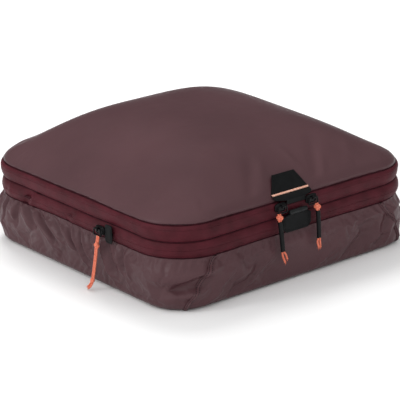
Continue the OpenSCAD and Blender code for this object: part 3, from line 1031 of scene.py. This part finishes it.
def sew(node, rows, body):
    """Black stitches on a tab or patch, as a piece of their own."""
    place(add_mesh(node + "_stitches", *join(rows), "black_thread"), "tab_fabric", body, node)


def make_upper_tab():
    face = FLAP_FOOT.y
    corners = [(face, FLAP_FOOT.z), (face, FLAP_FOOT.z + 3 * MM),
               (face + 0.3 * MM, BAR_Z - 4.6 * MM), (BAR_Y - 1.6 * MM, BAR_Z - 0.9 * MM),
               (BAR_Y, BAR_Z),
               (BAR_Y + 5.6 * MM, BAR_Z + 9.2 * MM), (TAB_TOP.y - 0.8 * MM, TAB_TOP.z - 0.6 * MM)]
    path = smooth_path([(0, y, z) for y, z in corners], 0.5 * MM)[:, 1:]
    up = np.clip((path[:, 1] - BAR_Z) / (TAB_TOP.z - BAR_Z), 0, 1)
    bar_half, top_half = BAR_LENGTH / 2 + 0.4 * MM, 14.6 * MM
    open_out = smooth_step((path[:, 1] - (BAR_Z - 5.4 * MM)) / (2.6 * MM))
    half = FLAP_HALF * (1 - open_out) + bar_half * open_out
    half = np.where(up > 0, bar_half + (top_half - bar_half) * up, half)
    centre = FLAP_X * (1 - open_out) + UPPER_TAB_X * open_out
    points = sheet_between(path, half, centre)
    normal = path_normals(path)
    across = np.linspace(-1, 1, points.shape[1])
    edge = half[:, None] * (1 - np.abs(across)[None])
    hem = 0.25 * MM * smooth_step(1 - edge / (1.6 * MM)) - 0.25 * MM * np.exp(
        -((edge - 2.3 * MM) / (0.7 * MM)) ** 2)
    sag = -0.5 * MM * np.sin(math.pi * np.clip(up, 0, 1))[:, None] * (1 - across ** 2)[None]
    points = points + normal[:, None] * (hem + sag)[..., None]
    piece = add_mesh("upper_tab_webbing", points.reshape(-1, 3),
                     grid_faces(*points.shape[:2]), "tab_fabric")
    thicken(piece, 1.1 * MM)
    place(piece, "tab_fabric", "lid", "upper_tab")
    above = np.flatnonzero(up > 0.06)
    rows = []
    for side in (-1, 1):
        k = np.argmin(np.abs(across - side * (1 - 2.3 * MM / (20 * MM))))
        rows.append(stitches(points[above, k], normal[above]))
    top = above[-5]
    rows.append(stitches(points[top, 4:-4], normal[top]))
    sew("upper_tab", rows, "lid")


make_upper_tab()


def make_bartack():
    """Dense bar of pale thread: many turns side by side over a flat core."""
    turns = 96
    rng = np.random.default_rng(3)
    slope = np.array([0, 1, TAB_SLOPE]) / math.hypot(1, TAB_SLOPE)
    out = np.array([0, -slope[2], slope[1]])
    start = np.array([UPPER_TAB_X - BAR_LENGTH / 2, BAR_Y, BAR_Z])
    angles = np.linspace(-0.15 * math.pi, 1.15 * math.pi, 8)
    made = []
    for k in range(turns):
        x = (k + 0.5) / turns * BAR_LENGTH + rng.uniform(-0.08, 0.08) * MM
        slant = (0.4 if k % 2 else -0.4) * MM
        wide, high = rng.uniform(0.92, 1.08) * 1.0 * MM, rng.uniform(0.6, 0.75) * MM
        arc = (start + np.array([x, 0, 0]) + np.outer(np.cos(angles) * wide, slope)
               + np.outer(np.sin(angles) * high, out)
               + np.outer(np.cos(angles) * slant, [1, 0, 0]))
        made.append(tube(arc, 0.30 * MM, 6))
    place(add_mesh("tab_bartack_thread", *join(made), "bartack_thread"), "bartack_thread", "lid",
          "tab_bartack")


make_bartack()


def make_lower_tab():
    low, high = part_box("lower_tab")
    rows = 26
    z = np.linspace(low.z, high.z, rows)
    chamfer, neck = 5 * MM, 3 * MM
    half_full, half_neck = (high.x - low.x) / 2, 12.5 * MM
    half = half_full - chamfer * np.clip(1 - (z - low.z) / chamfer, 0, 1) ** 1.3
    up = smooth_step((z - (high.z - neck)) / neck)
    half = half * (1 - up) + half_neck * up
    path = np.stack([np.full(rows, low.y), z], -1)
    points = sheet_between(path, half, np.full(rows, LOWER_TAB_X), 45)
    across = np.linspace(-1, 1, 45)
    edge = np.minimum(half[:, None] * (1 - np.abs(across)[None]), (z - low.z)[:, None])
    out = 0.2 * MM * smooth_step(1 - edge / (1.4 * MM)) - 0.25 * MM * np.exp(
        -((edge - 2.2 * MM) / (0.7 * MM)) ** 2)
    out = out + 0.35 * MM * np.sin(across * 3.2)[None] * np.sin(np.linspace(0, 3, rows))[:, None]
    points[..., 1] -= out
    piece = add_mesh("lower_tab_webbing", points.reshape(-1, 3), grid_faces(rows, 45),
                     "tab_fabric")
    thicken(piece, 1.1 * MM)
    place(piece, "tab_fabric", "ring", "lower_tab")
    facing = np.array([0, -1.0, 0])
    foot = np.argmin(np.abs(z - low.z - 2.2 * MM))
    made = [stitches(points[foot, 3:-3], facing, 3.2 * MM, 0.3 * MM, 0.6)]
    for k in (3, -4):
        made.append(stitches(points[foot + 1:-4, k], facing))
    sew("lower_tab", made, "ring")


make_lower_tab()


def make_grip():
    """The lower tab's top edge rolled over a soft core, with creased ends."""
    low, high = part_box("lower_tab_grip")
    centre = (low + high) / 2
    rows, sides = 60, 28
    x = np.linspace(low.x, high.x, rows)
    angles = full_turn(sides)
    radius = (high.z - low.z) / 2 * 0.97
    pinch = 1 - 0.5 * np.clip((np.abs(x - centre.x) - 10.6 * MM) / (1.9 * MM), 0, 1) ** 3
    crumple = 1 + 0.03 * np.sin(x[:, None] * 900 + 2 * angles[None]) + 0.02 * np.sin(
        3 * angles[None] - x[:, None] * 420)
    r = radius * pinch[:, None] * crumple * (1 - 0.06 * np.cos(2 * angles[None]))
    points = np.stack([np.repeat(x[:, None], sides, 1), centre.y - r * np.cos(angles)[None],
                       centre.z + r * np.sin(angles)[None]], -1)
    faces = flipped(grid_faces(rows, sides, wrap_columns=True) + end_caps(rows, sides))
    piece = add_mesh("lower_tab_grip_roll", points.reshape(-1, 3), faces, "grip_gloss")
    place(piece, "tab_fabric", "ring", "lower_tab_grip")
    row = points[3:-3, 16]
    sew("lower_tab_grip", [stitches(row, [0, -0.6, -0.8])], "ring")


make_grip()


def make_garage():
    low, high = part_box("zip_garage")
    centre = (low + high) / 2
    rings, count = 12, 64
    wide, tall = (high.y - low.y) / 2, (high.z - low.z) / 2
    y, z = rounded(full_turn(count), 0.42)
    share = np.linspace(1, 0.02, rings)
    out = 0.5 * MM * (1 - share ** 6) - 0.3 * MM * np.exp(-((share - 0.82) / 0.06) ** 2)
    bend = 0.8 * MM * (np.abs(z)[None] * share[:, None]) ** 4
    points = np.stack([low.x + 0.5 * MM - out[:, None] + bend * 0.4,
                       centre.y + wide * y[None] * share[:, None],
                       centre.z + tall * z[None] * share[:, None]], -1)
    faces = grid_faces(rings, count, wrap_columns=True)
    faces.append(tuple((rings - 1) * count + np.arange(count)))
    piece = add_mesh("zip_garage_patch", points.reshape(-1, 3), faces, "tab_fabric")
    thicken(piece, 0.9 * MM)
    place(piece, "tab_fabric", "tub", "zip_garage")
    ring = points[2][np.r_[0:count, 0]]
    sew("zip_garage", [stitches(ring, [-1.0, 0, 0])], "tub")


make_garage()


# ---------------------------------------------------------------- sliders and pulls
def to_front(x):
    """From slider axes (along the zip, out of the cube, up from the chain) to the front face."""
    return lambda q: np.stack([x + q[:, 0], -HALF_Y - q[:, 1], MAIN_Z + q[:, 2]], -1)


def to_left(y):
    return lambda q: np.stack([-HALF_X - q[:, 1], y - q[:, 0], COMP_Z + q[:, 2]], -1)


def slider_shell():
    """Cast slider: a waisted, domed plate on two flanges with a wedge rib down its middle."""
    levels = [(0.4, 6.9, 4.5), (0.6, 7.4, 4.95), (1.5, 7.5, 5.0), (1.9, 7.3, 4.8), (2.1, 6.7, 4.3),
              (3.0, 6.5, 4.1), (3.4, 6.1, 3.7), (3.6, 5.2, 2.9), (3.65, 2.6, 1.5), (3.65, 0.1, 0.1)]
    count = 56
    x, z = rounded(full_turn(count), 0.45)
    rows = []
    for out, wide, tall in levels:
        waist = 1 - 0.12 * np.exp(-((x * wide + 6.4) / 2.2) ** 2)
        rows.append(np.stack([x * wide, np.full(count, out), z * tall * waist], -1) * MM)
    faces = grid_faces(len(levels), count, wrap_columns=True) + end_caps(len(levels), count)
    return np.concatenate(rows), faces


def slider_lug():
    """Cast eye that the wire loop's top bar turns in, standing on a low bridge."""
    count = 28
    angles = full_turn(count)
    section = [(-1.6, 1.55), (-1.3, 1.75), (1.3, 1.75), (1.6, 1.55), (1.6, 1.05), (1.4, 0.92),
               (-1.4, 0.92), (-1.6, 1.05)]
    points = np.array([[x, LOOP_OUT / MM + r * math.cos(a), LOOP_RISE / MM + r * math.sin(a)]
                       for a in angles for x, r in section]) * MM
    eye = points, grid_faces(count, len(section), wrap_rows=True, wrap_columns=True)
    bridge = smooth_path(np.array([[-5.2, 3.2, 2], [-3.4, 4.2, 2], [-1.2, 4.6, 2], [1.2, 4.6, 2],
                                   [3.4, 4.2, 2], [5.2, 3.2, 2]]) * MM, 0.5 * MM)
    return join([eye, tube(bridge, 0.75 * MM, 10)])


def make_slider(name, body, where):
    points, faces = join([slider_shell(), slider_lug()])
    piece = add_mesh(name + "_body", where(points), faces, "slider_metal")
    bevel = piece.modifiers.new("soft_edges", "BEVEL")
    bevel.width = 0.15 * MM
    bevel.segments = 2
    place(piece, "slider_metal", body, name)


def make_loop(name, body, where):
    """Wire ring: its top bar turns in the slider's eye and its wider foot holds the cord."""
    out, top, foot = LOOP_OUT / MM, LOOP_RISE / MM, (LOOP_RISE - LOOP_DROP) / MM
    corners = [(0, top), (4.2, top), (5.3, top - 0.7), (6.0, foot + 2), (5.9, foot + 0.7),
               (5.0, foot), (0, foot), (-5.0, foot), (-5.9, foot + 0.7), (-6.0, foot + 2),
               (-5.3, top - 0.7), (-4.2, top), (0, top)]
    path = smooth_path(np.array([(x, out, z) for x, z in corners]) * MM, 0.4 * MM)[:-1]
    points, faces = tube(path, 0.8 * MM, 12, closed=True)
    place(add_mesh(name + "_wire", where(points), faces, "slider_metal"), "slider_metal", body,
          name)


def braid(radius, depth, crossings):
    """Profile of a braid for tube: strands that pass over and under each other."""
    def profile(angles, share):
        along = share * crossings
        return radius * (0.97 + depth * np.sin(3 * angles + along) * np.sin(3 * angles - along))
    return profile


def frayed_tip(end, direction, seed):
    """Short loose fibres fanned out from a cut end."""
    rng = np.random.default_rng(seed)
    direction = direction / np.linalg.norm(direction)
    made = []
    for _ in range(26):
        fan = rng.normal(0, 0.55, 3)
        start = end + (rng.normal(0, 0.32, 3)) * MM - direction * 0.6 * MM
        reach = rng.uniform(1.3, 2.6) * MM
        line = np.array([start + (direction * t + fan * t * t * 0.6) * reach
                         for t in np.linspace(0, 1, 5)])
        line[:, 2] = np.maximum(line[:, 2], 0.4 * MM)
        made.append(tube(line, np.linspace(0.2, 0.1, 5) * MM, 4))
    return join(made)


def make_cord(name, body, route, seed):
    path = smooth_path(np.array(route) * MM, 0.4 * MM)
    points, faces = tube(path, 0, 14, profile=braid(CORD_D / 2, 0.055, 95))
    tip = frayed_tip(path[-1], path[-1] - path[-6], seed)
    piece = add_mesh(name + "_braid", points, faces, "pull_cord")
    fray = place(add_mesh(name + "_fray", *tip, "pull_cord"), "pull_cord", body, name)
    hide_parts(name)
    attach(piece, body)


def make_knot(name, body, facing, turn):
    """Overhand knot of the doubled cord, seen down its eye along facing."""
    low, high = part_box(name)
    centre = np.array((low + high) / 2)
    size = np.array((high - low) / 2)
    t = np.linspace(0, 2 * math.pi, 180, endpoint=False)
    loops = np.stack([np.sin(t) + 2 * np.sin(2 * t), np.cos(t) - 2 * np.cos(2 * t),
                      -np.sin(3 * t)], -1) / 3
    cos, sin = math.cos(turn), math.sin(turn)
    u = loops[:, 0] * cos - loops[:, 1] * sin
    w = loops[:, 0] * sin + loops[:, 1] * cos
    facing = np.array(facing, float)
    side = np.cross(facing, [0, 0, 1.0])
    thick = 1.7 * MM
    wide = size[0] - thick
    path = (centre + np.outer(u * wide, side) + np.outer(w * (size[2] - thick), [0, 0, 1.0])
            + np.outer(loops[:, 2] * 3 * (wide - 0.6 * MM) * 0.55, facing))
    points, faces = tube(path, 0, 14, closed=True, profile=braid(thick, 0.05, 120))
    return place(add_mesh(name + "_turns", points, faces, "pull_cord"), "pull_cord", body, name)


def make_sleeve(name, body, route_a, route_b):
    """Soft sleeve shrunk over both cords, open at its two ends."""
    a, b = np.array(route_a) * MM, np.array(route_b) * MM
    top, foot = (a[1] + b[1]) / 2, (a[4] + b[4]) / 2
    rows, count = 60, 32
    t = np.linspace(0, 1, rows)
    angles = full_turn(count)
    lip = 1 + 0.05 * np.exp(-((t - 0.015) / 0.015) ** 2) + 0.05 * np.exp(
        -((t - 0.985) / 0.015) ** 2)
    slack = 1 + 0.02 * np.sin(t * 19) + 0.015 * np.sin(t * 47)
    line = top + (foot - top) * t[:, None]
    line[:, 0] += 0.35 * MM * np.sin(math.pi * t)
    straight = 1.15 * MM
    skin = []
    for radius in (1.55 * MM, 1.2 * MM):
        x = (radius * np.cos(angles) + straight * np.clip(np.cos(angles) * 3, -1, 1))
        y = radius * np.sin(angles) * (1 - 0.1 * np.exp(-(np.cos(angles) / 0.25) ** 2))
        swell = (lip * slack)[:, None]
        skin.append(np.stack([line[:, :1] + x[None] * swell, line[:, 1:2] + y[None] * swell,
                              np.repeat(line[:, 2:], count, 1)], -1))
    outer, inner = skin
    points = np.concatenate([outer.reshape(-1, 3), inner.reshape(-1, 3)])
    faces = flipped(grid_faces(rows, count, wrap_columns=True))
    faces += grid_faces(rows, count, wrap_columns=True, offset=rows * count)
    for row in (0, rows - 1):
        for j in range(count):
            k = (j + 1) % count
            o, q = row * count, (rows + row) * count
            ring = (o + j, o + k, q + k, q + j)
            faces.append(ring if row else ring[::-1])
    return place(add_mesh(name + "_tube", points, faces, "pull_sleeve"), "pull_sleeve", body,
                 name)


LEFT_A = [[-38.4, -177.4, 83], [-38.7, -179, 75], [-37.2, -179, 62], [-35.7, -179, 50],
          [-34.7, -179, 41], [-33.8, -179.4, 35], [-31.2, -179.8, 28.8]]
LEFT_B = [[-36, -177.4, 83], [-36.4, -179, 75], [-34.9, -179, 62], [-33.4, -179, 50],
          [-32.4, -179, 41], [-29.4, -178.8, 36.6], [-27.4, -178.6, 31]]
RIGHT_A = [[13.9, -177.4, 83], [14.7, -179, 75], [15.3, -179, 64], [15.9, -179, 54],
           [16.3, -179, 44], [15, -179.4, 39.4], [16.4, -179.8, 33.4]]
RIGHT_B = [[16.2, -177.4, 83], [17, -179, 75], [17.6, -179, 64], [18.2, -179, 54],
           [18.6, -179, 44], [19.3, -178.8, 38], [20, -178.6, 32.6]]
SIDE_A = [[-180.6, -53.8, 61], [-184, -54.8, 50], [-185, -54.4, 41], [-186, -53.4, 31],
          [-187, -52.2, 21], [-188, -50.9, 12], [-189, -48.6, 7], [-189.6, -46, 4.2]]
SIDE_B = [[-180.6, -56.1, 61], [-184, -57.1, 50], [-185, -56.7, 41], [-186, -55.7, 31],
          [-187, -54.5, 21], [-188, -53.2, 12], [-189.2, -50.8, 6], [-190, -48, 2.8]]


def make_pulls():
    front = (0, -1, 0)
    for side, x, route_a, route_b, turn in (("left", LEFT_X, LEFT_A, LEFT_B, 0.5),
                                            ("right", RIGHT_X, RIGHT_A, RIGHT_B, 2.4)):
        body = "pull_" + side
        make_slider("main_slider_" + side, "slider_" + side, to_front(x))
        make_loop("pull_loop_" + side, body, to_front(x))
        knot = make_knot("pull_knot_" + side, body, front, turn)
        sleeve = make_sleeve("pull_sleeve_" + side, body, route_a, route_b)
        make_cord(f"pull_cord_{side}_a", body, route_a, 61)
        make_cord(f"pull_cord_{side}_b", body, route_b, 62)
    make_slider("compression_slider", "slider_side", to_left(SIDE_SLIDER_Y))
    make_loop("pull_loop_side", "pull_side", to_left(SIDE_SLIDER_Y))
    knots = [make_knot("pull_knot_side", "pull_side", (-1, 0, 0), 1.2),
             make_knot("pull_end_knot_side", "pull_side", (-1, 0, 0), 0.2)]
    make_cord("pull_cord_side_a", "pull_side", SIDE_A, 63)
    make_cord("pull_cord_side_b", "pull_side", SIDE_B, 64)


make_pulls()
make_hinge_cloth()


# ---------------------------------------------------------------- studio
def make_studio():
    floor = bpy.data.meshes.new("floor")
    size = 6
    floor.from_pydata([(-size, -size, 0), (size, -size, 0), (size, size, 0), (-size, size, 0)],
                      [], [(0, 1, 2, 3)])
    made = bpy.data.objects.new("floor", floor)
    paper = bpy.data.materials.new("floor_paper")
    paper.use_nodes = True
    shader = paper.node_tree.nodes["Principled BSDF"]
    shader.inputs["Base Color"].default_value = (0.93, 0.93, 0.93, 1)
    shader.inputs["Roughness"].default_value = 0.9
    shader.inputs["Specular IOR Level"].default_value = 0.1
    floor.materials.append(paper)
    bpy.context.scene.collection.objects.link(made)

    def area(name, place, target, size, energy, size_y=None):
        data = bpy.data.lights.new(name, "AREA")
        data.energy = energy
        data.size = size
        if size_y:
            data.shape = "RECTANGLE"
            data.size_y = size_y
        light = bpy.data.objects.new(name, data)
        light.location = place
        light.rotation_mode = "QUATERNION"
        light.rotation_quaternion = (Vector(target) - Vector(place)).to_track_quat("-Z", "Y")
        bpy.context.scene.collection.objects.link(light)
        return light

    top = area("top_softbox", (0.5, 1.0, 1.7), (0, 0, 0.05), 0.9, 19)
    top.visible_glossy = False
    area("left_key", (-2.0, 0.5, 1.1), (0, 0, 0.05), 0.4, 10)
    world = bpy.data.worlds.new("studio")
    world.use_nodes = True
    nodes, links = world.node_tree.nodes, world.node_tree.links
    ray = nodes.new("ShaderNodeTexCoord").outputs["Generated"]
    facing = nodes.new("ShaderNodeVectorMath")
    facing.operation = "DOT_PRODUCT"
    facing.inputs[1].default_value = Vector((-0.55, -0.45, 0.70)).normalized()
    links.new(ray, facing.inputs[0])
    level = nodes.new("ShaderNodeMapRange")
    for socket, value in (("From Min", -0.35), ("From Max", 0.8), ("To Min", 0.15),
                          ("To Max", 1.16)):
        level.inputs[socket].default_value = value
    links.new(facing.outputs["Value"], level.inputs["Value"])
    links.new(level.outputs["Result"], nodes["Background"].inputs["Strength"])
    nodes["Background"].inputs["Color"].default_value = (1, 1, 1, 1)
    bpy.context.scene.world = world
    bpy.context.scene.view_settings.view_transform = "Standard"


make_studio()
